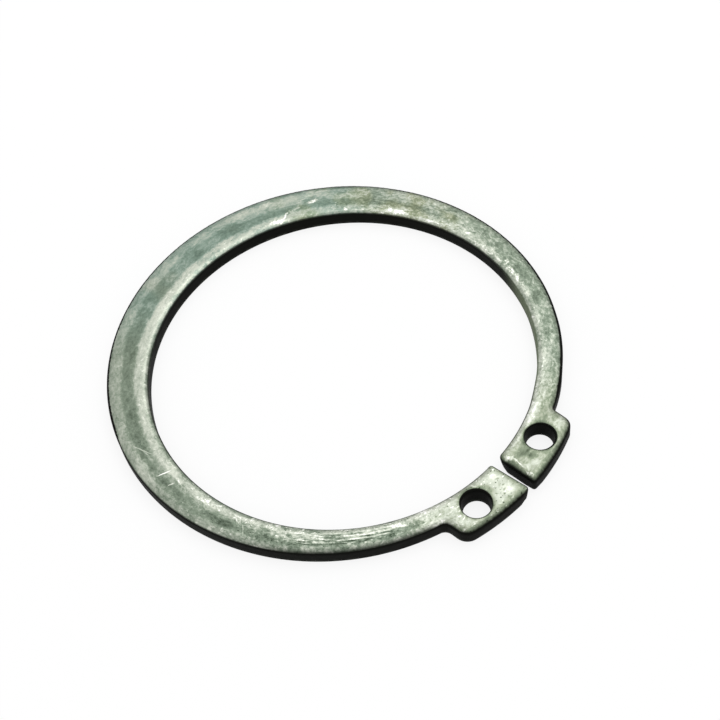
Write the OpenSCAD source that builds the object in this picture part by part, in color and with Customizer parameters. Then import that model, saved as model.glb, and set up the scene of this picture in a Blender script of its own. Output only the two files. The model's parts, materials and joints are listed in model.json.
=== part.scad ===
// External retaining ring for a 42 mm shaft, lying flat as it would on a bench.
// One piece stamped from spring steel: a crescent beam that is widest opposite the gap and
// tapers towards two lugs, each with a hole for the point of a pair of ring pliers.
// The bore axis is Z, the underside is z = 0 and the gap faces -Y.
// The punch has rolled the edges of the upper face over, and left the lower ones crisper.

/* [Ring] */
// Inner diameter of the free ring, off its shaft
free_diameter = 38.5; // [36:0.1:41]
// Thickness of the stamped strip
thickness = 1.75; // [1.3:0.05:2.5]
// Radial width of the beam opposite the gap, where it is widest
back_width = 4.65; // [3.9:0.05:5.6]
// Radial width that the beam tapers to at the gap
end_width = 2.05; // [1.6:0.05:2.6]
// Width of the gap between the two lugs
gap_width = 0.95; // [0.6:0.05:3]

/* [Lugs] */
// Radial height of the lugs, from the bore to their outer edge
lug_height = 4.35; // [4:0.05:6]
// Overall width of the two lugs and the gap, side to side
lug_span = 15.8; // [14.4:0.1:17.6]
// Radius of the shoulder between a lug's outer edge and its side
shoulder_radius = 1.3; // [0.6:0.1:1.7]
// Radius of the inside corner between a lug's side and the beam
root_radius = 0.65; // [0.3:0.05:1.1]
// Radius of the two corners of each lug beside the gap
tip_radius = 0.5; // [0.5:0.05:0.8]

/* [Plier holes] */
// Diameter of each hole
hole_diameter = 2.8; // [2.4:0.1:3.2]
// Distance between the centres of the two holes
hole_spacing = 9.3; // [8:0.1:10.2]

/* [Edges] */
// Rounding of the upper edges, where the punch rolled the metal over
top_round = 0.4; // [0.15:0.05:0.45]
// Rounding of the lower edges, left by tumbling
bottom_round = 0.1; // [0.05:0.05:0.4]
// Rounding of both rims of the plier holes
hole_round = 0.2; // [0.05:0.05:0.4]

/* [Hidden] */

// facets of the large arcs and of the small ones, as drawn on screen
RING_FN = 240;
CORNER_FN = 48;
// how far a cutter runs past the faces that it opens
past = 1;
steel = [0.56, 0.59, 0.54];

bore_r = free_diameter / 2;
// the outer circle of the beam is eccentric to the bore, which gives the taper
outer_r = bore_r + (back_width + end_width) / 2;
outer_shift = (back_width - end_width) / 2;
lug_r = bore_r + lug_height;

// each rounded corner stands this far proud of the two faces that it joins
blend = 0.005;

// a shoulder's centre lies one radius inside the lug's side and its outer edge
shoulder_x = lug_span / 2 - shoulder_radius;
shoulder_angle = asin(shoulder_x / (lug_r - shoulder_radius));
shoulder_y = -shoulder_x / tan(shoulder_angle);

// a root's centre lies one radius outside the lug's side and outside the beam
root_x = lug_span / 2 + root_radius;
root_y = outer_shift - sqrt(pow(outer_r + root_radius, 2) - pow(root_x, 2));

// the tip corners' centres lie one radius behind the end face
tip_x = gap_width / 2 + tip_radius;
outer_tip_y = -sqrt(pow(lug_r - tip_radius, 2) - pow(tip_x, 2));
inner_tip_y = -sqrt(pow(bore_r + tip_radius, 2) - pow(tip_x, 2));

// each hole sits half way up its lug
hole_r = hole_diameter / 2;
hole_x = hole_spacing / 2;
hole_y = -sqrt(pow(bore_r + lug_height / 2, 2) - pow(hole_x, 2));

// What is cut from a square corner to leave it rounded: the corner's centre is the origin
module corner_waste(radius) {
    difference() {
        square(radius + past);
        circle(r = radius, $fn = CORNER_FN);
    }
}

// Section of the strip from x = inner to x = outer, its outer side rounded above and below
module rim_section(inner, outer) {
    difference() {
        translate([inner, 0]) square([outer - inner, thickness]);
        translate([outer - top_round, thickness - top_round]) corner_waste(top_round);
        translate([outer - bottom_round, bottom_round]) mirror([0, 1]) corner_waste(bottom_round);
    }
}

// Section of a cutter from its axis to a wall, with mouths that flare out over both faces
module flare_section(wall, top, bottom) {
    translate([0, -past]) square([wall, thickness + 2 * past]);
    translate([wall, thickness - top]) difference() {
        square([top, top + past]);
        translate([top, 0]) circle(r = top, $fn = CORNER_FN);
    }
    translate([wall, bottom]) mirror([0, 1]) difference() {
        square([bottom, bottom + past]);
        translate([bottom, 0]) circle(r = bottom, $fn = CORNER_FN);
    }
}

// One shape and its mirror image across the middle of the gap
module both_sides() {
    children();
    mirror([1, 0, 0]) children();
}

// A round corner of the outline, seen from above: a puck with both its rims rounded
module puck(x, y, radius) {
    translate([x, y, 0]) rotate_extrude($fn = 2 * CORNER_FN) rim_section(0, radius);
}

// The crescent, still with no bore
module beam_disc() {
    translate([0, outer_shift, 0]) rotate_extrude($fn = RING_FN) rim_section(0, outer_r);
}

// The inside corners between the lugs' sides and the beam
module root_block() {
    difference() {
        linear_extrude(thickness) polygon([[-root_x, root_y], [root_x, root_y], [0, outer_shift]]);
        both_sides() translate([root_x - blend, root_y + blend, 0])
            rotate_extrude($fn = 2 * CORNER_FN) flare_section(root_radius, top_round, bottom_round);
    }
}

// The lugs' straight sides, from the shoulders into the beam
module side_block() {
    translate([0, shoulder_y / 2, 0]) rotate([90, 0, 0]) linear_extrude(-shoulder_y / 2) {
        rim_section(0, lug_span / 2);
        mirror([1, 0]) rim_section(0, lug_span / 2);
    }
}

// The lugs' outer edge, from shoulder to shoulder
module lug_sector() {
    rotate_extrude(angle = 2 * shoulder_angle, start = -90 - shoulder_angle, $fn = RING_FN)
        rim_section(0, lug_r);
}

// The right lug's end beside the gap, with its two corners
module lug_tip() {
    translate([tip_x + tip_radius, inner_tip_y, 0])
        rotate([90, 0, 0]) linear_extrude(inner_tip_y - outer_tip_y)
            mirror([1, 0]) rim_section(0, 2 * tip_radius);
    puck(tip_x - blend, outer_tip_y - blend, tip_radius);
    puck(tip_x - blend, inner_tip_y + blend, tip_radius);
}

// The bore, with both of its mouths rounded
module bore() {
    rotate_extrude($fn = RING_FN) flare_section(bore_r, top_round, bottom_round);
}

// What parts the two lugs, back to their tip corners' centres
module end_slot() {
    translate([-tip_x, -lug_r - past, -past])
        cube([2 * tip_x, lug_height + 2 * past, thickness + 2 * past]);
}

// The right lug's plier hole
module plier_hole() {
    translate([hole_x, hole_y, 0])
        rotate_extrude($fn = 2 * CORNER_FN) flare_section(hole_r, hole_round, hole_round);
}

module retaining_ring() {
    color(steel) {
        difference() {
            union() {
                beam_disc();
                root_block();
                side_block();
                lug_sector();
                both_sides() puck(shoulder_x + blend, shoulder_y - blend, shoulder_radius);
            }
            bore();
            end_slot();
            both_sides() plier_hole();
        }
        both_sides() lug_tip();
    }
}

retaining_ring();
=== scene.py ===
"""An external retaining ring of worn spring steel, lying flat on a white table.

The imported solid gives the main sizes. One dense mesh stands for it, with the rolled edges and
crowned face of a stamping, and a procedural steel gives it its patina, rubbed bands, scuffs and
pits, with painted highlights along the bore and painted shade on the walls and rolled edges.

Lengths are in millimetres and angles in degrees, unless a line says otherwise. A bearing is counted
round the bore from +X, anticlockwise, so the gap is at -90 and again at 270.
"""
import json
import math

import bmesh
import bpy
from mathutils import Matrix, Vector, geometry, kdtree, noise


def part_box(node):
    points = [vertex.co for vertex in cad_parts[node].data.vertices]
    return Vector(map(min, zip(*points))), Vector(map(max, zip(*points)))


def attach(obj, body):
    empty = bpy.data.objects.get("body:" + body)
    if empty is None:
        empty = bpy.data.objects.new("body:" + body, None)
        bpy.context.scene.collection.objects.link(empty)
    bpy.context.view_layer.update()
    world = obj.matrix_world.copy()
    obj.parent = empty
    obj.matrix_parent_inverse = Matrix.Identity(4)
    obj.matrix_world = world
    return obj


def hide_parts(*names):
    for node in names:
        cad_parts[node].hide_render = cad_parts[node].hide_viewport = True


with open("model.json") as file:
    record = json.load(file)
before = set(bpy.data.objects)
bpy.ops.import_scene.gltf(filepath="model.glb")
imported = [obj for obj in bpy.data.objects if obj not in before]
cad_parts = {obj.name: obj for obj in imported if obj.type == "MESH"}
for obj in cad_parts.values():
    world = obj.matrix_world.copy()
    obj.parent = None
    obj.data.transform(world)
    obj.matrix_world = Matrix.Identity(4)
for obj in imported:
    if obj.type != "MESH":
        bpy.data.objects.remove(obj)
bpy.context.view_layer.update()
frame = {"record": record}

MM = 0.001
NODE = "retaining_ring"

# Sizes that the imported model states
mounts = {mount["name"]: mount for mount in frame["record"]["mounts"]}
node_low, node_high = (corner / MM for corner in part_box(NODE))
BORE_R = mounts["shaft_seat"]["dims"]["r_mm"]
HOLE_R = mounts["plier_hole_right"]["dims"]["r_mm"]
HOLE_X, HOLE_Y = (value / MM for value in mounts["plier_hole_right"]["pos_m"][:2])
THICKNESS = node_high.z
OUTER_R = node_high.x
OUTER_SHIFT = node_high.y - OUTER_R
LUG_R = -node_low.y

# Sizes of the outline that differ a little from lug to lug
OUTER_GAP_HALF = {"right": 0.475, "left": 0.28}
INNER_GAP_HALF = {"right": 0.475, "left": 0.5}
LUG_HALF = {"right": 7.97, "left": 7.8}
SHOULDER_R = {"right": 1.17, "left": 1.42}
ROOT_R = {"right": 0.41, "left": 0.9}
OUTER_TIP_R = {"right": 0.35, "left": 0.35}
INNER_TIP_R = {"right": 0.62, "left": 0.38}

# The beam stands out beyond true circles beside the right lug: bearing, distance from the bore,
# half length along the edge, and how far it stands out
SWELLINGS = (
    (-52, 0.0, 6.0, 0.08),
    (-63, 2.3, 3.0, 0.09),
)

# The section: each edge of the upper face rolls over, broad and shallow, and runs out into a crown
ROLL_DEPTH = 0.4
OUTER_ROLL = 0.8
BORE_ROLL = 0.5
HOLE_ROLL = 0.2
HOLE_ROLL_DEPTH = 0.16
CROWN_DROP = 0.05
CROWN_WIDTH = 1.6
# The roll widens from the bore's to the outer edge's over this distance from the bore
ROLL_WIDENING = 1.5
# The lower edges are barely broken, and the foot of the wall is paler in patches up to this height
HEEL_R = 0.08
HEEL_HEIGHT = 0.2

# The left lug's end beside the gap is rolled less: from how far off the middle, setting in over
# what distance, and by what share of the roll's width and depth
SHARP_END = 1.2
SHARP_FADE = 0.6
SHARP_WIDTH = 0.5
SHARP_DEPTH = 0.6

# The walls lean in towards their feet at the lugs' tips: x, y and how far, all within one reach
TIP_LEANS = (
    (0.5, -BORE_R, 0.28),
    (-0.3, -LUG_R, 0.14),
    (0.5, -LUG_R, 0.06),
    (-0.5, -BORE_R, 0.06),
)
TIP_REACH = 1.1
# The plier holes narrow towards their feet
HOLE_TAPER = 0.12

# Each hole's rim for the painted shade round it: how far it is off the hole's centre, and how much
# wider it is
SHADED_RIMS = {"right": (0.05, -0.06, 0.04), "left": (0.08, 0.1, 0.03)}

# Fineness of the mesh, and the step round tight corners in degrees
OUTLINE_STEP = 0.2
FACE_STEP = 0.16
UNDER_STEP = 0.3
ROW_GAP = 0.1
CORNER_DEGREES = 6
TIGHT_R = 2
# Distances below which two points of an outline are one, a point counts as on its row, two
# vertices are welded, and a filled face takes two points for one
SAME_POINT = 1e-4
ON_ROW = 0.01
WELD = 1e-3
FILL_GAP = 1e-5
# What the fill leaves out: triangles outside the edges
INSIDE_ONLY = 1
# The face is smoothed this many times, down to this share of the roll's depth
SMOOTHING_ROUNDS = 4
SMOOTHED_SHARE = 0.8

# The rows of a wall: the lip stands this far inside the edge and falls this far to the brink,
# bowed by these shares of the two; then the steps down to the heel and round it, and how late
# the lean sets in
WALL_INSET = 0.06
BRINK_DROP = 1.2 * WALL_INSET
BOW_IN = 0.35
BOW_DOWN = 0.55
WALL_STEPS = 4
HEEL_STEPS = 3
LEAN_POWER = 1.4

# Slight waves of the face: cells to a millimetre, level in the noise, and height
WAVES = (
    (0.35, 0, 0.014),
    (1.3, 7, 0.006),
)

# Dents: bearing, distance from the bore, half width and depth
DENTS = {
    "nick beside the bore, far left": (72.0, 0.25, 0.28, 0.05),
    "nick on the far side": (60.0, 1.1, 0.35, 0.04),
    "dent on the far side": (51.0, 2.9, 0.4, 0.04),
    "dent at the outer edge": (-24.0, 2.3, 0.35, 0.03),
    "nick at the bore on the right": (17.0, 0.3, 0.25, 0.05),
    "dent on the right lug": (-86.0, 3.0, 0.5, 0.05),
    "second dent on the right lug": (-84.5, 1.2, 0.45, 0.04),
    "dent on the left lug": (265.0, 2.6, 0.45, 0.03),
    "dent on the near side": (222.0, 0.9, 0.4, 0.03),
    "dent on the left": (165.0, 2.4, 0.5, 0.03),
}
# Beyond this many half widths a dent is too shallow to count
DENT_REACH = 3


def clamped(value):
    """The value, kept between 0 and 1."""
    return min(max(value, 0.0), 1.0)


def at(turn, reach):
    """The place at this bearing and this distance out from the bore."""
    angle = math.radians(turn)
    return Vector((math.cos(angle), math.sin(angle))) * (BORE_R + reach)


def arc(centre, radius, start, end):
    """Points and outward normals along an arc; a clockwise arc is a hollow one."""
    span = math.radians(end - start)
    by_length = abs(span) * radius / OUTLINE_STEP
    by_angle = abs(end - start) / CORNER_DEGREES if radius < TIGHT_R else 0
    steps = max(2, math.ceil(max(by_length, by_angle)))
    outward = 1 if span > 0 else -1
    samples = []
    for i in range(steps + 1):
        angle = math.radians(start) + span * i / steps
        direction = Vector((math.cos(angle), math.sin(angle)))
        samples.append((Vector(centre) + direction * radius, direction * outward))
    return samples


def straight(start, end):
    """Points and outward normals along a line, with the metal on its left."""
    start, end = Vector(start), Vector(end)
    along = (end - start).normalized()
    steps = max(2, math.ceil((end - start).length / OUTLINE_STEP))
    normal = Vector((along.y, -along.x))
    return [(start.lerp(end, i / steps), normal) for i in range(steps + 1)]


def outer_half(side):
    """The outline of one lug, drawn as the right one, from its outer tip corner to the beam."""
    tip_r, shoulder_r, root_r = OUTER_TIP_R[side], SHOULDER_R[side], ROOT_R[side]
    tip_x = OUTER_GAP_HALF[side] + tip_r
    tip_angle = math.degrees(math.asin(tip_x / (LUG_R - tip_r)))
    tip_y = -math.sqrt((LUG_R - tip_r) ** 2 - tip_x**2)
    shoulder_x = LUG_HALF[side] - shoulder_r
    shoulder_angle = math.degrees(math.asin(shoulder_x / (LUG_R - shoulder_r)))
    shoulder_y = -math.sqrt((LUG_R - shoulder_r) ** 2 - shoulder_x**2)
    root_x = LUG_HALF[side] + root_r
    root_angle = math.degrees(math.asin(root_x / (OUTER_R + root_r)))
    root_y = OUTER_SHIFT - math.sqrt((OUTER_R + root_r) ** 2 - root_x**2)
    samples = arc((tip_x, tip_y), tip_r, 180, 270 + tip_angle)
    samples += arc((0, 0), LUG_R, tip_angle - 90, shoulder_angle - 90)
    samples += arc((shoulder_x, shoulder_y), shoulder_r, shoulder_angle - 90, 0)
    samples += straight((LUG_HALF[side], shoulder_y), (LUG_HALF[side], root_y))
    samples += arc((root_x, root_y), root_r, 180, 90 + root_angle)
    return samples, root_angle


def inner_half(side):
    """The tip corner at the bore, drawn as the right one, and the angle at which the bore meets it."""
    tip_r = INNER_TIP_R[side]
    tip_x = INNER_GAP_HALF[side] + tip_r
    tip_angle = math.degrees(math.asin(tip_x / (BORE_R + tip_r)))
    tip_y = -math.sqrt((BORE_R + tip_r) ** 2 - tip_x**2)
    return arc((tip_x, tip_y), tip_r, 90 + tip_angle, 180), tip_angle


def mirrored(samples):
    """The same stretch on the left side, in the order in which the outline is walked."""
    flip = Vector((-1, 1))
    return [(point * flip, normal * flip) for point, normal in reversed(samples)]


def ring_outline():
    """The whole edge of the ring as one loop of points and normals, with the metal on its left."""
    right, right_root = outer_half("right")
    left, left_root = outer_half("left")
    right_tip, right_angle = inner_half("right")
    left_tip, left_angle = inner_half("left")
    loop = list(right)
    loop += arc((0, OUTER_SHIFT), OUTER_R, right_root - 90, 270 - left_root)
    loop += mirrored(left)
    loop += straight(mirrored(left)[-1][0], mirrored(left_tip)[0][0])
    loop += mirrored(left_tip)
    loop += arc((0, 0), BORE_R, 270 - left_angle, right_angle - 90)
    loop += right_tip
    loop += straight(right_tip[-1][0], right[0][0])
    return without_repeats([(point + normal * swelling(point), normal) for point, normal in loop])


def swelling(point):
    """How far the edge stands out at this point of it."""
    proud = 0.0
    for turn, reach, half_length, amount in SWELLINGS:
        away = (point - at(turn, reach)).length / half_length
        proud += amount * max(0.0, 1 - away * away)
    return proud


def without_repeats(loop):
    """The loop with each point that repeats the one before it left out."""
    kept = []
    for sample in loop:
        if not kept or (sample[0] - kept[-1][0]).length > SAME_POINT:
            kept.append(sample)
    if (kept[0][0] - kept[-1][0]).length < SAME_POINT:
        kept.pop()
    return kept


def hole_outline(x):
    """The edge of one plier hole as a loop, with the metal on its left."""
    return without_repeats(arc((x, HOLE_Y), HOLE_R, 360, 0))


def edge_roll(point, k):
    """Width and depth of the rolled edge beside a point of the outline, which is loop 0, or a hole."""
    if k > 0:
        return HOLE_ROLL, HOLE_ROLL_DEPTH
    share = clamped((point.length - BORE_R) / ROLL_WIDENING)
    width = BORE_ROLL + (OUTER_ROLL - BORE_ROLL) * share
    on_left_lug = point.y < 0 and point.x < 0
    sharper = clamped((point.x + SHARP_END) / SHARP_FADE) if on_left_lug else 0.0
    return width * (1 - SHARP_WIDTH * sharper), ROLL_DEPTH * (1 - SHARP_DEPTH * sharper)


def fall(distance, width, depth, crowned=1.0):
    """How far the upper face has fallen at this distance from its edge."""
    near = max(0.0, 1 - distance / width)
    rolled = depth * (1 - math.sqrt(1 - near * near))
    return rolled + crowned * CROWN_DROP * max(0.0, 1 - distance / CROWN_WIDTH) ** 2


def foot(point, k):
    """How far the wall below this point of the outline has leant into the metal at its foot."""
    if k > 0:
        return -HOLE_TAPER
    lean = 0.0
    for x, y, most in TIP_LEANS:
        away = (point - Vector((x, y))).length / TIP_REACH
        lean = max(lean, most * max(0.0, 1 - away * away))
    return lean


class Outline:
    """The edges of the ring, and how far from them any point lies."""

    def __init__(self, loops):
        self.loops = loops
        self.edges = [(p, n, k) for k, loop in enumerate(self.loops) for p, n in loop]
        self.tree = kdtree.KDTree(len(self.edges))
        for i, (p, _, _) in enumerate(self.edges):
            self.tree.insert((p.x, p.y, 0), i)
        self.tree.balance()

    def shifted(self, inset):
        """The same edges, moved into the metal by what inset says for each point and loop."""
        return Outline([
            [(p - n * inset(p, k), n) for p, n in loop] for k, loop in enumerate(self.loops)
        ])

    def nearest(self, point):
        """Signed distance inside the metal, the outline's own point there, and which loop it is on."""
        _, index, _ = self.tree.find((point.x, point.y, 0))
        edge_point, normal, k = self.edges[index]
        return -(point - edge_point).dot(normal), edge_point, k

    def upper(self, point):
        """Height of the upper face, before dents and unevenness."""
        distance, edge_point, k = self.nearest(point)
        distance = max(distance, WALL_INSET)
        return THICKNESS - fall(distance, *edge_roll(edge_point, k), 0.0 if k else 1.0)


def lattice(step):
    """Points over the ring on circles round the bore, each circle turned half a step."""
    points = []
    row_step = step * math.sqrt(3) / 2
    rows = int((OUTER_R + OUTER_SHIFT - BORE_R) / row_step) + 1
    for row in range(1, rows + 1):
        radius = BORE_R + row * row_step
        count = int(2 * math.pi * radius / step)
        for i in range(count):
            angle = 2 * math.pi * (i + 0.5 * (row % 2)) / count
            points.append(Vector((math.cos(angle), math.sin(angle))) * radius)
    return points


def edge_rows(outline, inset, width):
    """Points on lines that follow the edges, wherever no other edge lies nearer."""
    points = []
    rows = int((width - inset) / ROW_GAP)
    for loop in outline.loops:
        for row in range(1, rows + 1):
            depth = inset + row * ROW_GAP
            for p, n in loop:
                point = p - n * depth
                if abs(outline.nearest(point)[0] - depth) < ON_ROW:
                    points.append(point)
    return points


def bearing(point):
    """Bearing of a point round the bore, from -90 to 270, with the gap at both ends."""
    return 90 + math.degrees(math.atan2(-point.x, point.y))


def unevenness(point):
    """How far the face lies low, where it was struck and in the slight waves of a stamping."""
    sag = 0.0
    for scale, level, height in WAVES:
        sag += height * (noise.noise(Vector((point.x, point.y, level)) * scale) + 1)
    for turn, reach, half_width, depth in DENTS.values():
        away = (Vector((point.x, point.y)) - at(turn, reach)).length / half_width
        if away < DENT_REACH:
            sag += depth * math.exp(-away * away)
    return sag


def filled(outline, extra, clearance):
    """Triangles that fill the face inside the edges, through these extra points."""
    coords, sides = [], []
    for loop in outline.loops:
        first = len(coords)
        coords += [p for p, _ in loop]
        count = len(loop)
        sides += [(first + i, first + (i + 1) % count) for i in range(count)]
    coords += [p for p in extra if outline.nearest(p)[0] > clearance]
    result = geometry.delaunay_2d_cdt(coords, sides, [], INSIDE_ONLY, FILL_GAP)
    points, triangles = result[0], result[2]
    kept = []
    for triangle in triangles:
        middle = sum((points[i] for i in triangle), Vector((0, 0))) / 3
        if outline.nearest(middle)[0] > 0:
            kept.append(triangle)
    return points, kept


def add_face(bm, points, triangles, height, turned):
    """Adds a filled face to the mesh, upward or turned over."""
    verts = [bm.verts.new((p.x, p.y, height(p))) for p in points]
    for triangle in triangles:
        corners = [verts[i] for i in triangle]
        bm.faces.new(reversed(corners) if turned else corners)


def heel_row(step, lean=0.0):
    """Inset and height of one row round the heel."""
    angle = math.radians(90 * step / HEEL_STEPS)
    return lean + HEEL_R * (1 - math.cos(angle)), HEEL_R * (1 - math.sin(angle))


def wall_rows(top, lean):
    """Inset and height of each row of a wall, from the steep end of its roll to the underside."""
    brink = top - BRINK_DROP
    rows = [(WALL_INSET, top), (BOW_IN * WALL_INSET, top - BOW_DOWN * BRINK_DROP), (0.0, brink)]
    for step in range(1, WALL_STEPS + 1):
        share = step / WALL_STEPS
        rows.append((lean * share**LEAN_POWER, brink + (HEEL_R - brink) * share))
    return rows + [heel_row(step, lean) for step in range(1, HEEL_STEPS + 1)]


def add_wall(bm, outline, loop):
    """Adds the wall below one edge."""
    columns = []
    k = outline.loops.index(loop)
    for p, n in loop:
        rows = wall_rows(outline.upper(p - n * WALL_INSET), foot(p, k))
        columns.append([bm.verts.new((p.x - n.x * inset, p.y - n.y * inset, z)) for inset, z in rows])
    for i, column in enumerate(columns):
        following = columns[(i + 1) % len(columns)]
        for j in range(len(column) - 1):
            bm.faces.new((column[j], column[j + 1], following[j + 1], following[j]))


def add_upper_face(bm, outline):
    """Adds the upper face: rows of points along its edges, and an even lattice between them."""
    rows = edge_rows(outline, WALL_INSET, OUTER_ROLL)
    clear = OUTER_ROLL + 0.5 * FACE_STEP
    middle = [p for p in lattice(FACE_STEP) if outline.nearest(p)[0] > clear]
    edge = outline.shifted(lambda p, k: WALL_INSET)
    points, triangles = filled(edge, rows + middle, 0.0)
    add_face(bm, points, triangles, outline.upper, False)


def add_under_face(bm, outline):
    """Adds the flat underside, inside the foot of the walls."""
    edge = outline.shifted(lambda p, k: HEEL_R + foot(p, k))
    points, triangles = filled(edge, lattice(UNDER_STEP), 0.5 * UNDER_STEP)
    add_face(bm, points, triangles, lambda p: 0.0, True)


def wear_in(bm):
    """Smooths the upper face and lets it sag, and the walls with it, down to the heel."""
    upper = [v for v in bm.verts if v.co.z > THICKNESS - SMOOTHED_SHARE * ROLL_DEPTH]
    for _ in range(SMOOTHING_ROUNDS):
        bmesh.ops.smooth_vert(bm, verts=upper, factor=0.5, use_axis_z=True)
    for vert in bm.verts:
        share = clamped((vert.co.z - HEEL_R) / (THICKNESS - ROLL_DEPTH - HEEL_R))
        vert.co.z -= unevenness(vert.co) * share


def ring_mesh(outline):
    """The whole ring as one closed mesh, in metres."""
    bm = bmesh.new()
    for loop in outline.loops:
        add_wall(bm, outline, loop)
    add_upper_face(bm, outline)
    add_under_face(bm, outline)
    bmesh.ops.remove_doubles(bm, verts=bm.verts, dist=WELD)
    wear_in(bm)
    bmesh.ops.scale(bm, vec=(MM, MM, MM), verts=bm.verts)
    for face in bm.faces:
        face.smooth = True
    mesh = bpy.data.meshes.new("ring")
    bm.to_mesh(mesh)
    bm.free()
    return mesh


def store(mesh, name, values):
    """Keeps one number per vertex under a name that a material can read."""
    layer = mesh.attributes.new(name, "FLOAT", "POINT")
    layer.data.foreach_set("value", values)


def beyond_hole(point):
    """Distance from the shaded rim of the nearer plier hole, which isn't quite true to the hole."""
    side = "right" if point.x > 0 else "left"
    dx, dy, wider = SHADED_RIMS[side]
    centre = Vector((math.copysign(HOLE_X, point.x) + dx, HOLE_Y + dy))
    return (point - centre).length - HOLE_R - wider


# What the mesh tells the steel at each point: its distance from the nearest edge and from the
# bore, its place across the beam, its bearing, how far it is down the rolled edge or on the wall,
# up the thickness and down the heel, and its distance from the shaded rim of the nearer hole
MARKS = ("rim", "reach", "lane", "turn", "wall", "upper", "heel", "hole")
# The mark of the wall starts this far below the top, past the drop of the crown
WALL_START = 0.07


def marks_at(point, height, outline):
    """What the steel is told at one point of the mesh."""
    distance, _, k = outline.nearest(point)
    reach = point.length - BORE_R
    turn = bearing(point)
    across = OUTER_R + OUTER_SHIFT * math.sin(math.radians(turn)) - BORE_R
    wall = clamped((THICKNESS - WALL_START - height) / (HOLE_ROLL_DEPTH if k else ROLL_DEPTH))
    on_underside = height < 0.5 * heel_row(HEEL_STEPS - 1)[1]
    return {
        "rim": max(distance, 0.0),
        "reach": reach,
        "lane": reach / across,
        "turn": turn,
        "wall": 0.0 if on_underside else wall,
        "upper": clamped(height / THICKNESS),
        "heel": max(0.0, 1 - height / HEEL_HEIGHT),
        "hole": beyond_hole(point),
    }


def describe(mesh, outline):
    """Keeps its marks at each vertex of the mesh."""
    marks = [marks_at(v.co.to_2d() / MM, v.co.z / MM, outline) for v in mesh.vertices]
    for name in MARKS:
        store(mesh, name, [mark[name] for mark in marks])


# Materials

def add(tree, kind, inputs=None, **settings):
    """Adds a node, with its settings, and sets or links each named or numbered input."""
    made = tree.nodes.new(kind)
    for name, value in settings.items():
        setattr(made, name, value)
    for name, value in (inputs or {}).items():
        if isinstance(value, bpy.types.NodeSocket):
            tree.links.new(value, made.inputs[name])
        else:
            made.inputs[name].default_value = value
    return made


def calc(tree, operation, first, second=0.0, clamp=False):
    """One sum on numbers or sockets."""
    node = add(tree, "ShaderNodeMath", {0: first, 1: second}, operation=operation, use_clamp=clamp)
    return node.outputs[0]


def blend(tree, factor, first, second, kind="MIX"):
    """Mixes two colours."""
    inputs = {0: factor, 6: first, 7: second}
    return add(tree, "ShaderNodeMix", inputs, data_type="RGBA", blend_type=kind).outputs[2]


def read(tree, name):
    """A number that the mesh keeps at each point."""
    return add(tree, "ShaderNodeAttribute", attribute_name=name).outputs["Fac"]


def srgb(red, green, blue):
    """A colour as it shows on screen, from 0 to 255, as the numbers that a shader takes."""
    values = []
    for value in (red, green, blue):
        share = value / 255
        values.append(share / 12.92 if share <= 0.04045 else ((share + 0.055) / 1.055) ** 2.4)
    return (*values, 1.0)


STAIN = srgb(55, 66, 53)
PATINA = srgb(121, 133, 117)
RUBBED = srgb(199, 203, 190)
GLINT = srgb(242, 242, 238)
BLUE_CAST = srgb(236, 250, 255)
OLIVE_CAST = srgb(255, 249, 232)
# painted shade of the walls, near black
SHADED_WALL = srgb(13, 14, 11)
# paler colours within the painted wall shade, at the foot and on the bore beside the right lug
PALER_HEEL = srgb(66, 70, 63)
PALER_BORE_WALL = srgb(100, 110, 88)
TABLE_WHITE = (0.95, 0.95, 0.95, 1)

# The colour of the face at each tone, from the most stained to the brightest
TONES = (
    (0.05, STAIN),
    (0.5, PATINA),
    (1.0, RUBBED),
    (1.25, GLINT),
)
PATINA_TONE = 0.5

# How far one degree takes along the middle of the beam
ARC_PER_DEGREE = 0.376
# Bearings between which the beam turns into each lug
RIGHT_LUG_FADE = (-66, -70)
LEFT_LUG_FADE = (245, 250)

# Noise about zero: how far it is drawn out along the beam, its level, how strongly it is bent,
# cells to a millimetre, octaves, roughness, and how much it adds at its extremes
GRAINS = {
    "wave": (2, 17.0, 0.0, 0.3, 2.0, 0.5, 0.05),
    "ragged": (1.8, 0.0, 0.3, 1.3, 4.0, 0.6, 0.035),
    "blotches": (1.6, 2.0, 0.5, 0.6, 3.0, 0.5, 0.1),
    "smears": (1.9, 7.0, 0.5, 1.4, 5.0, 0.62, 0.22),
    "fine": (1.5, 5.0, 0.15, 3.6, 4.0, 0.7, 0.3),
    "streaks": (10, 13.0, 0.06, 5.0, 3.0, 0.6, 0.75),
}

# Small marks, where such noise is high: the same terms, but for the last two, which are the
# levels between which a mark sets in
SPECKS = {
    "flecks": (1.7, 9.0, 0.2, 3.6, 3.0, 0.6, 0.58, 0.7),
    "pits": (1.3, 21.0, 0.0, 5.0, 2.0, 0.6, 0.62, 0.7),
}

# Where each of them is thick: first and last bearing, fading out over so many degrees, and how
# much that adds to its share of the face
THICK = {
    "grain": ((205, 248, 14, 0.65), (-88, 30, 20, 0.45), (155, 200, 15, 0.2)),
    "flecks": ((-75, 30, 15, 0.16), (200, 275, 40, 0.34)),
    "pits": ((200, 275, 40, 0.32), (259, 268, 3, 0.5)),
}
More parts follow.
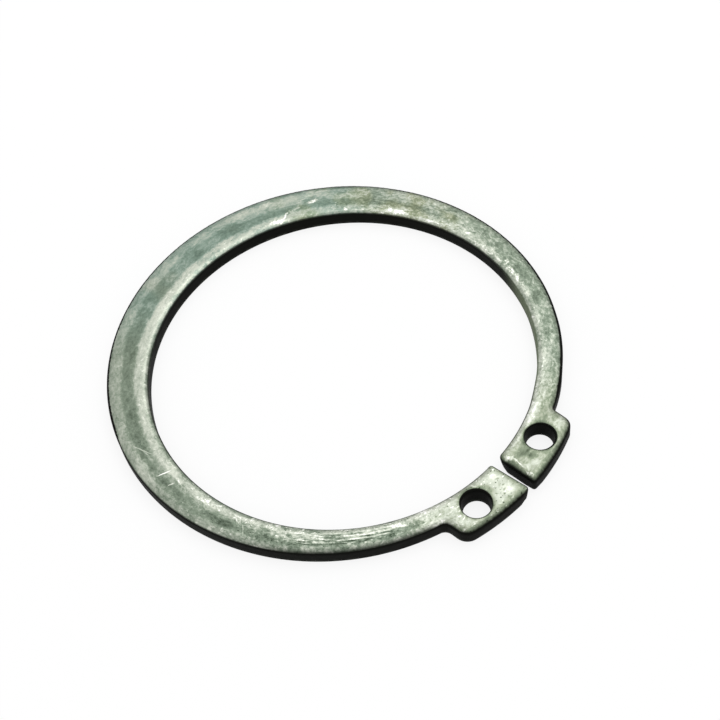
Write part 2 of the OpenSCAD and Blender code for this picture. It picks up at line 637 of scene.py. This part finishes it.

# Where the face is more rubbed or more stained than its patina, or carries a painted highlight:
# first and last bearing, fading out over so many degrees, then first and last lane, 0 at the bore
# and 1 at the outer edge, fading out over a share of the width, and how much is added
ZONES = {
    # painted highlights: the bright band along the rolled edge of the bore, with its stronger stretches
    "painted highlight round the bore": (-75, 240, 15, 0.11, 0.24, 0.13, 0.18),
    "painted bore highlight, far side": (62, 108, 15, 0.06, 0.22, 0.1, 0.12),
    "painted bore highlight, left": (112, 200, 12, 0.12, 0.22, 0.16, 0.13),
    # painted highlights on the lip of the bore's rolled edge
    "bore edge, far side and left": (55, 108, 12, -0.1, 0.0, 0.05, 0.12),
    "bore edge, right": (-70, 10, 12, -0.1, 0.1, 0.07, 0.09),
    "bright beside the right lug": (-72, -50, 8, -0.1, 0.4, 0.14, 0.1),
    "light outer half, right": (-46, -30, 10, 0.5, 0.7, 0.1, 0.06),
    "dull outer half, right": (-28, -14, 6, 0.34, 0.85, 0.1, -0.07),
    "light stretch, right": (-6, 12, 6, 0.0, 0.45, 0.1, 0.08),
    "dull stretch, far right": (14, 32, 8, 0.14, 0.4, 0.1, -0.07),
    # painted highlight on the lip of the bore's rolled edge
    "bore edge, far right": (14, 28, 6, -0.1, 0.1, 0.05, 0.14),
    "light outer half, far right": (14, 70, 8, 0.58, 0.84, 0.1, 0.15),
    "stained outer edge, far side": (40, 75, 10, 0.86, 1.2, 0.06, -0.12),
    "stained outer edge, right": (-20, 50, 15, 0.92, 1.2, 0.08, -0.12),
    # painted highlight, part of the band along the bore
    "bright beside the bore, left": (92, 116, 12, 0.14, 0.26, 0.07, 0.04),
    "stained middle": (104, 190, 15, 0.44, 0.58, 0.16, -0.07),
    "light middle, left": (96, 116, 8, 0.4, 0.75, 0.1, 0.06),
    "light outer lane": (55, 165, 14, 0.7, 0.9, 0.1, 0.14),
    "grey bore edge, near left": (155, 196, 10, -0.1, 0.1, 0.05, -0.18),
    "wide rubbed band, near left": (165, 192, 10, 0.3, 0.45, 0.08, 0.12),
    # painted highlight: a thin light line on the near side's outer rolled edge
    "light outer edge, near side": (168, 245, 10, 0.78, 1.2, 0.07, 0.14),
    "rubbed near side": (208, 232, 10, 0.26, 0.52, 0.1, 0.2),
    "dull middle, near side": (196, 246, 12, 0.54, 0.66, 0.08, -0.14),
    "dull middle before the left lug": (230, 247, 6, 0.45, 0.8, 0.1, -0.05),
    "struck before the left lug": (238, 250, 5, -0.1, 0.7, 0.1, 0.12),
    "left lug": (246, 272, 5, -0.1, 3.0, 0.05, 0.26),
    "left lug beside the gap": (262.5, 272, 3, 0.4, 1.6, 0.2, 0.06),
    "outer edge of the right lug": (-90, -66, 3, 1.1, 2.4, 0.3, 0.2),
    "right lug": (-90, -66, 3, -0.1, 3.0, 0.05, 0.03),
    "right lug beside the bore": (-90, -66, 4, 0.0, 0.4, 0.2, 0.14),
}

# Stained patches: bearing, distance from the bore, half length and half width, slant from the
# direction of the beam, and how much is taken away
PATCHES = (
    (-65, 2.0, 1.0, 0.3, 5, 0.16),
    (-53, 1.9, 1.8, 0.35, -3, 0.12),
    (-30, 1.4, 1.8, 0.5, 0, 0.08),
    (-9, 1.75, 1.4, 0.45, 10, 0.14),
    (8, 1.6, 0.8, 0.25, -60, 0.1),
    (16, 2.0, 0.9, 0.4, -60, 0.08),
    (33.5, 2.0, 1.5, 0.9, 20, 0.24),
    (58, 1.9, 1.6, 0.5, -10, 0.06),
    (75, 2.3, 2.8, 0.6, 0, 0.14),
    (88, 1.9, 3.0, 0.6, 3, 0.04),
    (104, 2.2, 1.4, 0.6, 0, 0.04),
    (118, 2.0, 1.6, 0.7, 5, 0.06),
    (127, 1.8, 1.5, 0.7, 15, 0.08),
    (134, 2.3, 1.5, 0.6, -10, 0.1),
    (147, 1.9, 1.8, 0.7, 10, 0.12),
    (155.5, 1.95, 1.1, 0.4, 0, 0.14),
    (165.5, 2.2, 1.1, 0.6, 60, 0.1),
    (171.5, 2.1, 1.0, 0.6, 0, 0.16),
    (178, 2.2, 1.6, 0.5, 5, 0.1),
    (190.5, 1.9, 2.0, 0.5, 4, 0.14),
    (201, 2.0, 1.8, 0.45, 10, 0.1),
    (236, 1.7, 1.9, 0.4, 5, 0.18),
    (243.5, 1.6, 1.2, 0.35, 0, 0.14),
    (-83.5, 2.3, 1.3, 0.7, 70, 0.4),
    (-82.5, 2.0, 0.5, 0.35, 0, 0.26),
    (-70.5, 2.6, 0.9, 0.5, 0, 0.1),
    (-81, 1.0, 0.7, 0.4, 20, 0.14),
    (263, 1.9, 1.2, 0.5, 75, 0.22),
    (265.2, 2.7, 0.25, 0.2, 0, 0.4),
    (264.4, 3.0, 0.2, 0.14, 40, 0.45),
    (265.9, 2.2, 0.16, 0.14, 0, 0.4),
    (263.2, 2.6, 0.22, 0.12, 60, 0.4),
    (266.3, 1.5, 0.3, 0.12, 20, 0.35),
    (261.5, 1.1, 0.9, 0.4, 30, 0.14),
    (258, 0.7, 0.8, 0.3, 0, 0.12),
    (264.5, 3.6, 0.5, 0.16, 30, 0.18),
    (265.5, 2.0, 0.5, 0.12, -40, 0.16),
)

# Bright nicks and bruises, in the same terms, with how much is added
NICKS = (
    (-47, 1.4, 0.8, 0.25, 5, 0.14),
    (-22, 0.65, 0.6, 0.3, 30, 0.5),
    (-19, 0.7, 0.7, 0.24, 10, 0.46),
    (-15.5, 0.85, 0.5, 0.28, 50, 0.5),
    (-12.5, 0.55, 0.7, 0.24, 0, 0.4),
    (-9, 0.95, 0.7, 0.24, 10, 0.32),
    (-8.5, 0.4, 0.9, 0.16, -5, 0.36),
    (0, 1.55, 1.0, 0.09, 0, 0.2),
    (1, 0.85, 0.5, 0.25, -30, 0.28),
    (8, 0.65, 0.6, 0.13, -40, 0.26),
    (13.5, 0.32, 1.1, 0.15, -12, 0.26),
    (24, 0.55, 1.3, 0.34, 0, 0.56),
    (27, 0.75, 0.4, 0.3, 0, 0.5),
    (37.5, 0.4, 0.4, 0.2, 60, 0.2),
    (41.2, 0.5, 0.34, 0.26, 40, 0.5),
    (44, 1.45, 0.4, 0.09, -60, 0.26),
    (50.6, 2.2, 0.8, 0.22, -15, 0.55),
    (54, 2.5, 0.9, 0.12, -30, 0.22),
    (56, 1.65, 1.1, 0.24, -25, 0.24),
    (59.2, 1.15, 1.05, 0.2, -42, 0.7),
    (62.3, 0.5, 1.1, 0.3, 10, 0.5),
    (66, 0.7, 1.2, 0.16, 10, 0.2),
    (63, 3.4, 1.0, 0.3, 5, 0.14),
    (103, 1.0, 0.6, 0.3, 40, 0.14),
    (107, 0.5, 0.6, 0.12, -30, 0.16),
    (115, 1.6, 0.22, 0.16, 0, 0.26),
    (144.6, 1.05, 0.5, 0.1, -40, 0.2),
    (174.5, 1.15, 0.8, 0.16, 10, 0.3),
    (182, 0.95, 1.4, 0.16, -8, 0.34),
    (187.5, 0.75, 0.9, 0.12, 8, 0.24),
    (192.6, 2.5, 0.4, 0.2, 70, 0.4),
    (194, 0.6, 0.7, 0.14, -5, 0.26),
    (202, 2.7, 1.0, 0.12, -6, 0.26),
    (213, 1.35, 0.5, 0.25, 30, 0.36),
    (237.5, 0.85, 1.1, 0.16, 12, 0.5),
    (251, 3.1, 0.3, 0.18, 60, 0.3),
    (261.8, 3.5, 0.22, 0.1, 60, 0.3),
    (265.5, 3.0, 0.9, 0.7, 80, 0.16),
    (266, 1.2, 0.9, 0.5, 40, 0.2),
    (252, 1.4, 0.9, 0.5, 30, 0.16),
    (-87.4, 0.85, 0.5, 0.3, 60, 0.5),
    (-86.8, 1.9, 1.1, 0.12, 95, 0.5),
    (-87.6, 3.4, 0.7, 0.12, 100, 0.5),
    (-84, 3.3, 0.6, 0.3, 60, 0.14),
    (-82, 0.5, 1.2, 0.3, 0, 0.2),
    (-71, 0.5, 1.6, 0.35, 0, 0.16),
    (-75, 0.7, 1.2, 0.3, 0, 0.16),
)

# Single scratches, in the same terms
SCRATCHES = (
    (159.3, 2.1, 1.35, 0.08, -37, 0.36),
    (160.5, 1.95, 0.9, 0.06, -20, 0.2),
    (168.9, 1.6, 0.85, 0.08, -80, 0.85),
    (172.9, 1.75, 0.42, 0.08, -75, 0.6),
    (167.6, 2.85, 0.6, 0.05, 15, 0.2),
    (181.8, 2.2, 0.5, 0.05, -80, 0.14),
    (197, 1.6, 0.7, 0.06, 60, 0.3),
    (195, 0.8, 0.5, 0.06, 65, 0.26),
    (203, 2.75, 1.2, 0.06, -8, 0.2),
    (236, 1.6, 0.7, 0.05, -65, 0.12),
    (130.6, 3.0, 0.3, 0.12, 80, 0.14),
    (86, 3.3, 0.7, 0.06, 2, 0.14),
    (78, 3.1, 0.6, 0.07, -4, 0.18),
)


class Steel:
    """The nodes of the worn spring steel, and what the mesh tells them at each point."""

    def __init__(self):
        self.material = bpy.data.materials.new("spring_steel")
        self.material.use_nodes = True
        self.tree = self.material.node_tree
        self.tree.nodes.clear()
        place = add(self.tree, "ShaderNodeTexCoord").outputs["Object"]
        scale = (1 / MM, 1 / MM, 1 / MM)
        self.where = add(self.tree, "ShaderNodeMapping", {"Vector": place, "Scale": scale}).outputs[0]
        self.rim, self.reach, self.lane, self.turn, self.wall, self.upper, self.heel, self.hole = (
            read(self.tree, name) for name in MARKS
        )
        self.along = calc(self.tree, "MULTIPLY", self.turn, ARC_PER_DEGREE)
        self.lugs = self.total(
            self.fade(self.turn, *RIGHT_LUG_FADE), self.fade(self.turn, *LEFT_LUG_FADE)
        )

    def drawn_out(self, stretch, level=0.0, warp=0.0):
        """Places in millimetres along and across the beam, shortened along it and bent by noise."""
        along = calc(self.tree, "DIVIDE", self.along, stretch)
        across = self.reach
        if warp:
            across = self.total(across, self.centred(self.noise(self.where, 0.9, 2.0), warp))
            along = self.total(along, self.centred(self.noise(self.where, 1.1, 2.0), warp / 2))
        return add(self.tree, "ShaderNodeCombineXYZ", {0: along, 1: across, 2: level}).outputs[0]

    def noise(self, where, scale, detail=3.0, roughness=0.5):
        """Noise from 0 to 1 at this many cells a millimetre."""
        inputs = {"Vector": where, "Scale": scale, "Detail": detail, "Roughness": roughness}
        return add(self.tree, "ShaderNodeTexNoise", inputs).outputs[0]

    def jogged(self, scale, amount):
        """Places in millimetres, each moved a little by noise."""
        inputs = {"Vector": self.where, "Scale": scale, "Detail": 3.0}
        shift = add(self.tree, "ShaderNodeTexNoise", inputs).outputs["Color"]
        shift = add(self.tree, "ShaderNodeMapping", {"Vector": shift, "Location": (-0.5, -0.5, 0)})
        moved = add(
            self.tree,
            "ShaderNodeVectorMath",
            {0: shift.outputs[0], 1: (amount, amount, amount), 2: self.where},
            operation="MULTIPLY_ADD",
        )
        return moved.outputs[0]

    def total(self, *terms):
        """The sum of several numbers or sockets."""
        result = terms[0]
        for term in terms[1:]:
            result = calc(self.tree, "ADD", result, term)
        return result

    def product(self, *terms):
        """The product of several numbers or sockets."""
        result = terms[0]
        for term in terms[1:]:
            result = calc(self.tree, "MULTIPLY", result, term)
        return result

    def most(self, *terms):
        """The greatest of several numbers or sockets."""
        result = terms[0]
        for term in terms[1:]:
            result = calc(self.tree, "MAXIMUM", result, term)
        return result

    def centred(self, value, amount):
        """Noise about zero, this strong at its usual extremes, a quarter either side of its middle."""
        return calc(self.tree, "MULTIPLY", calc(self.tree, "SUBTRACT", value, 0.5), amount * 4)

    def grain(self, name):
        """Noise about zero, as the table of grains has it."""
        stretch, level, warp, scale, detail, roughness, amount = GRAINS[name]
        where = self.drawn_out(stretch, level, warp)
        return self.centred(self.noise(where, scale, detail, roughness), amount)

    def specks(self, name):
        """1 on small marks and 0 between them, as the table of specks has it."""
        stretch, level, warp, scale, detail, roughness, low, high = SPECKS[name]
        where = self.drawn_out(stretch, level, warp)
        return self.fade(self.noise(where, scale, detail, roughness), low, high)

    def thick(self, name):
        """What is added to the share of grain, flecks or pits along the stretches in their table."""
        result = 0.0
        for start, end, soft, amount in THICK[name]:
            result = self.total(result, self.product(self.band(self.turn, start, end, soft), amount))
        return result

    def fade(self, value, low, high, to_low=0.0, to_high=1.0):
        """Carries a value from one range to another along a smooth step, which never leaves it."""
        inputs = {"Value": value, "From Min": low, "From Max": high}
        inputs |= {"To Min": to_low, "To Max": to_high}
        # a separate clamp for each step would be more than one shader can hold
        step = {"interpolation_type": "SMOOTHSTEP", "clamp": False}
        return add(self.tree, "ShaderNodeMapRange", inputs, **step).outputs[0]

    def ramp(self, value, low, high):
        """Carries a value from one range to 0 to 1 in proportion, and no further."""
        inputs = {"Value": value, "From Min": low, "From Max": high}
        return add(self.tree, "ShaderNodeMapRange", inputs).outputs[0]

    def band(self, value, low, high, soft):
        """1 between two values, fading to 0 beyond both."""
        return self.product(
            self.fade(value, low - soft, low), self.fade(value, high, high + soft, 1.0, 0.0)
        )

    def dot(self, where, direction):
        """How far a place lies along a direction, as a share of its length."""
        inputs = {0: where, 1: direction}
        return add(self.tree, "ShaderNodeVectorMath", inputs, operation="DOT_PRODUCT").outputs["Value"]

    def spots(self, marks, where, core):
        """The sum of oval marks, each at full strength in its core and fading out to its edge."""
        # each mark is added as soon as it is measured, so that the shader holds few numbers at once
        result = 0.0
        for turn, reach, half_length, half_width, slant, amount in marks:
            centre = at(turn, reach).to_3d()
            heading = Matrix.Rotation(math.radians(turn + 90 - slant), 3, "Z")
            lengthwise = heading @ Vector((1 / half_length, 0, 0))
            widthwise = heading @ Vector((0, 1 / half_width, 0))
            x, y = self.dot(where, lengthwise), self.dot(where, widthwise)
            placed = add(self.tree, "ShaderNodeCombineXYZ", {0: x, 1: y}).outputs[0]
            middle = (centre.dot(lengthwise), centre.dot(widthwise), 0)
            away = add(self.tree, "ShaderNodeVectorMath", {0: placed, 1: middle}, operation="DISTANCE")
            result = self.total(result, self.fade(away.outputs["Value"], core, 1.0, amount, 0.0))
        return result


def zones(steel, lane):
    """What the named zones add to the tone of the face."""
    result = 0.0
    for start, end, soft, low, high, lane_soft, amount in ZONES.values():
        here = steel.product(
            steel.band(steel.turn, start, end, soft), steel.band(lane, low, high, lane_soft), amount
        )
        result = steel.total(result, here)
    return result


def busy(steel):
    """How strong the grain is: most on the near side, then on the right and left, least on the lugs."""
    return steel.total(0.55, steel.thick("grain"), steel.product(steel.lugs, -0.35))


def streaks(steel):
    """Fine dark and light streaks along the middle of the near side."""
    here = steel.product(steel.band(steel.turn, 212, 234, 5), steel.band(steel.lane, 0.3, 0.66, 0.1))
    return steel.product(here, steel.grain("streaks"))


def face_tone(steel):
    """The face's tone, from 0 stained through 0.5 patina to 1 rubbed bright, with painted highlights.
    """
    lane = steel.total(steel.lane, steel.grain("wave"), steel.grain("ragged"))
    grain = steel.product(steel.total(steel.grain("smears"), steel.grain("fine")), busy(steel))
    # where the marks of use lie is known for the upper face only
    stains = steel.product(steel.spots(PATCHES, steel.jogged(scale=0.9, amount=0.9), core=0.0), -1.0)
    placed = steel.product(steel.total(zones(steel, lane), stains, streaks(steel)), steel.upper)
    return steel.total(PATINA_TONE, steel.grain("blotches"), grain, placed)


def scuffs(steel):
    """Nicks, scratches and small bright flecks, where the face has been struck and rubbed."""
    jagged = steel.fade(steel.noise(steel.where, 4.5, 3.0, 0.65), 0.3, 0.55, 0.25, 1.15)
    nicks = steel.spots(NICKS, steel.jogged(scale=2.2, amount=0.9), core=0.25)
    cuts = steel.spots(SCRATCHES, steel.jogged(scale=0.8, amount=0.35), core=0.5)
    placed = steel.product(steel.total(steel.product(nicks, jagged), cuts), steel.upper)
    beside_bore = steel.product(steel.fade(steel.lane, 0.12, 0.5, 1.0, 0.0), 0.2)
    share = steel.total(0.04, beside_bore, steel.thick("flecks"))
    return steel.total(placed, steel.product(steel.specks("flecks"), share))


def pits(steel):
    """Small dark pits, thick on the near side and on the left lug."""
    beside_bore = steel.product(steel.fade(steel.lane, 0.2, 0.45, 1.0, 0.0), 0.14)
    share = steel.total(0.08, beside_bore, steel.thick("pits"))
    return steel.product(steel.specks("pits"), share)


def lug_shade(steel):
    """Painted shade: how the lugs darken towards their outer edges and the gap, and round the plier
    holes.
    """
    outer_edge = steel.product(steel.fade(steel.reach, 3.1, 4.4, 0.0, 0.36), steel.lugs)
    right_end = steel.fade(steel.turn, -88.6, -86.4, 0.36, 0.0)
    left_end = steel.fade(steel.turn, 266.4, 269, 0.0, 0.3)
    halo = steel.fade(steel.hole, 0.05, 0.6, 0.3, 0.0)
    return steel.most(outer_edge, halo, steel.total(right_end, left_end))


def toned(steel, tone):
    """The colour of the face at this tone."""
    low, colour = TONES[0]
    for high, brighter in TONES[1:]:
        colour = blend(steel.tree, steel.ramp(tone, low, high), colour, brighter)
        low = high
    return colour


def tinted(steel, amount, colour, cast):
    """The colour with this much of a cast over it."""
    return blend(steel.tree, amount, colour, blend(steel.tree, 1.0, colour, cast, "MULTIPLY"))


def with_casts(steel, tone, colour):
    """Cooler on the far left, warmer on the far right and towards the lugs, where it isn't rubbed."""
    dull = steel.fade(tone, 0.55, 0.85, 1.0, 0.0)
    cool_patches = steel.fade(steel.noise(steel.where, 0.22, 2.0), 0.2, 0.5)
    cool = steel.product(cool_patches, steel.band(steel.turn, 48, 105, 25), dull)
    colour = tinted(steel, cool, colour, BLUE_CAST)
    warm_patches = steel.fade(steel.noise(steel.where, 0.35, 3.0), 0.42, 0.6)
    warm = steel.product(warm_patches, steel.band(steel.turn, 5, 55, 12), dull)
    right_end = steel.fade(steel.turn, -70, -50, 0.5, 0.0)
    left_end = steel.fade(steel.turn, 236, 250, 0.0, 0.5)
    ends = steel.product(steel.total(right_end, left_end), dull)
    return tinted(steel, steel.most(warm, ends), colour, OLIVE_CAST)


def shade_on_walls_and_edges(steel, inside, outside):
    """Painted shade: near black on the walls, and in a line along the edges and round the holes."""
    # the painted shade starts part of the way down the rolled edges, higher on the lugs and on the far
    # side's outer edge, and lower on the bore where that turns edge on to the left and to the right
    sides = steel.total(steel.band(steel.turn, 133, 200, 15), steel.band(steel.turn, -80, -26, 18))
    far_rim = steel.product(outside, steel.band(steel.turn, -60, 148, 10))
    start = steel.total(
        0.42,
        steel.product(steel.lugs, -0.3),
        steel.product(inside, sides, 0.3),
        steel.product(far_rim, -0.24),
    )
    width = steel.total(0.2, steel.product(steel.lugs, 0.2), steel.product(far_rim, -0.06))
    # painted shade, deepening down the rolled edge towards the wall
    shaded_down_roll = steel.fade(steel.wall, start, steel.total(start, width))
    line = steel.fade(steel.rim, 0.05, 0.2, 0.9, 0.0)
    # the line is broader and softer along the near side, and on the bore to the left
    near_side = steel.product(
        outside, steel.fade(steel.turn, 185, 215), steel.fade(steel.turn, 244, 248, 1.0, 0.0)
    )
    bore_left = steel.product(inside, steel.band(steel.turn, 118, 146, 10), 0.5)
    soft_line = steel.product(
        steel.total(near_side, bore_left), steel.fade(steel.rim, 0.0, 0.46, 0.95, 0.0)
    )
    holes = steel.fade(steel.hole, 0.06, 0.16, 1.0, 0.0)
    return steel.most(shaded_down_roll, line, soft_line, holes)


def wall_colour(steel, inside):
    """Painted shade for the walls, near black, paler on the bore beside the right lug and in patches at
    the foot.
    """
    paler_strip = steel.product(inside, steel.band(steel.turn, -56, -30, 14), 0.85)
    # paler patches at the foot of the painted wall shade
    worn = steel.product(steel.heel, steel.fade(steel.noise(steel.where, 1.5, 3.0), 0.4, 0.6))
    return blend(steel.tree, worn, blend(steel.tree, paler_strip, SHADED_WALL, PALER_BORE_WALL), PALER_HEEL)


def steel_shader():
    """Worn spring steel: patina and rubbed faces, painted highlights, and painted shade on the walls.
    """
    steel = Steel()
    tree = steel.tree
    tone = steel.total(face_tone(steel), scuffs(steel))
    tone = calc(tree, "SUBTRACT", tone, pits(steel))
    tone = calc(tree, "SUBTRACT", tone, lug_shade(steel))
    colour = with_casts(steel, tone, toned(steel, tone))
    inside = steel.fade(steel.lane, 0.3, 0.5, 1.0, 0.0)
    outside = calc(tree, "SUBTRACT", 1.0, inside)
    # painted shade: near black on the walls and down the rolled edges
    wall_shade = shade_on_walls_and_edges(steel, inside, outside)
    colour = blend(tree, wall_shade, colour, wall_colour(steel, inside))

    # metal where it is bright, duller and rougher under the painted wall shade, and finely pebbled all
    # over
    unpolished = steel.centred(steel.noise(steel.where, 1.2, 4.0), 0.06)
    roughness = steel.total(0.4, unpolished, steel.product(wall_shade, 0.15))
    metal = calc(tree, "SUBTRACT", 0.92, steel.product(wall_shade, 0.92))
    pebbles = steel.noise(steel.where, 2.4, 5.0, 0.62)
    bump = add(tree, "ShaderNodeBump", {"Height": pebbles, "Strength": 0.4, "Distance": 0.02 * MM})
    inputs = {
        "Base Color": colour,
        "Metallic": metal,
        "Roughness": roughness,
        "Specular IOR Level": 0.03,
        "Normal": bump.outputs[0],
    }
    shader = add(tree, "ShaderNodeBsdfPrincipled", inputs)
    add(tree, "ShaderNodeOutputMaterial", {"Surface": shader.outputs[0]})
    return steel.material


def seen_directly(tree):
    """1 where the camera sees a surface, straight or by reflection, and 0 where it only lights."""
    rays = add(tree, "ShaderNodeLightPath").outputs
    seen = calc(tree, "ADD", rays["Is Camera Ray"], rays["Is Glossy Ray"])
    return calc(tree, "ADD", seen, rays["Is Transmission Ray"], clamp=True)


# How much of the white that the camera sees is the table's own, so that its shadow stays faint
TABLE_GLOW = 0.84


def table_top():
    """A matt white table that shows white from above, shadow and all, and not at all from below."""
    material = bpy.data.materials.new("table_white")
    material.use_nodes = True
    tree = material.node_tree
    tree.nodes.clear()
    matt = add(tree, "ShaderNodeBsdfDiffuse", {"Color": TABLE_WHITE})
    white = add(tree, "ShaderNodeEmission", {"Strength": 1.0})
    share = calc(tree, "MULTIPLY", seen_directly(tree), TABLE_GLOW)
    both = add(tree, "ShaderNodeMixShader", {0: share, 1: matt.outputs[0], 2: white.outputs[0]})
    below = add(tree, "ShaderNodeNewGeometry").outputs["Backfacing"]
    clear = add(tree, "ShaderNodeBsdfTransparent")
    top_only = add(tree, "ShaderNodeMixShader", {0: below, 1: both.outputs[0], 2: clear.outputs[0]})
    add(tree, "ShaderNodeOutputMaterial", {"Surface": top_only.outputs[0]})
    return material


# Set: the table's width, the lamp and the camera are in metres

TABLE_WIDTH = 6
TABLE_DROP = 0.02 * MM
# How bright the room is as a light; the camera sees it white
ROOM_LIGHT = 0.84


def lay_table():
    """A wide plain floor, a hair's breadth under the ring so that no face is shared with it."""
    bpy.ops.mesh.primitive_plane_add(size=TABLE_WIDTH, location=(0, 0, -TABLE_DROP))
    floor = bpy.context.object
    floor.name = "floor"
    floor.data.materials.append(table_top())


def soft_lamp(name, azimuth, elevation, distance, size, power):
    """A square lamp that faces the ring, from an azimuth that is 0 in front, at -Y."""
    data = bpy.data.lights.new(name, "AREA")
    data.size = size
    data.energy = power
    lamp = bpy.data.objects.new(name, data)
    bpy.context.collection.objects.link(lamp)
    a, e = math.radians(azimuth), math.radians(elevation)
    back = Vector((math.sin(a) * math.cos(e), -math.cos(a) * math.cos(e), math.sin(e)))
    lamp.location = back * distance
    lamp.rotation_mode = "QUATERNION"
    lamp.rotation_quaternion = (-back).to_track_quat("-Z", "Y")


def light():
    """Soft light from all round, in a pale room, and a little more from above on the right."""
    world = bpy.data.worlds.new("room")
    bpy.context.scene.world = world
    world.use_nodes = True
    tree = world.node_tree
    tree.nodes.clear()
    gain = calc(tree, "MULTIPLY", seen_directly(tree), 1 - ROOM_LIGHT)
    strength = calc(tree, "ADD", ROOM_LIGHT, gain)
    background = add(tree, "ShaderNodeBackground", {"Color": (1, 1, 1, 1), "Strength": strength})
    add(tree, "ShaderNodeOutputWorld", {"Surface": background.outputs[0]})
    soft_lamp("key", azimuth=100, elevation=64, distance=0.7, size=0.6, power=1.5)


# Where the photograph was taken from, fitted to the ring in it, and the frame of its image in pixels
CAMERA_AZIMUTH = -39.55
CAMERA_ELEVATION = 53.1
CAMERA_ROLL = -10.06
CAMERA_DISTANCE = 7.106 * BORE_R * MM
IMAGE_WIDTH = 720
FOCAL_PIXELS = 1375
CENTRE_LEFT = 17.52
CENTRE_DOWN = 7.3


def place_camera():
    """The camera of the photograph, aimed at the middle of the bore."""
    a, e, roll = (math.radians(v) for v in (CAMERA_AZIMUTH, CAMERA_ELEVATION, CAMERA_ROLL))
    back = Vector((math.sin(a) * math.cos(e), -math.cos(a) * math.cos(e), math.sin(e)))
    level = Vector((math.cos(a), math.sin(a), 0))
    upward = back.cross(level)
    right = level * math.cos(roll) + upward * math.sin(roll)
    up = upward * math.cos(roll) - level * math.sin(roll)
    data = bpy.data.cameras.new("camera")
    data.sensor_width = 36
    data.lens = data.sensor_width * FOCAL_PIXELS / IMAGE_WIDTH
    data.shift_x = CENTRE_LEFT / IMAGE_WIDTH
    data.shift_y = CENTRE_DOWN / IMAGE_WIDTH
    data.clip_start = 0.005
    camera = bpy.data.objects.new("camera", data)
    bpy.context.collection.objects.link(camera)
    turned = Matrix((right, up, back)).transposed().to_4x4()
    camera.matrix_world = Matrix.Translation(back * CAMERA_DISTANCE) @ turned
    bpy.context.scene.camera = camera


def make_ring():
    """The ring that is seen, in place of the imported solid."""
    outline = Outline([ring_outline(), hole_outline(HOLE_X), hole_outline(-HOLE_X)])
    mesh = ring_mesh(outline)
    describe(mesh, outline)
    mesh.materials.append(steel_shader())
    ring = bpy.data.objects.new("worn_ring", mesh)
    bpy.context.collection.objects.link(ring)
    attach(ring, "root")
    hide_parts(NODE)


bpy.context.scene.view_settings.view_transform = "Standard"
place_camera()
light()
lay_table()
make_ring()
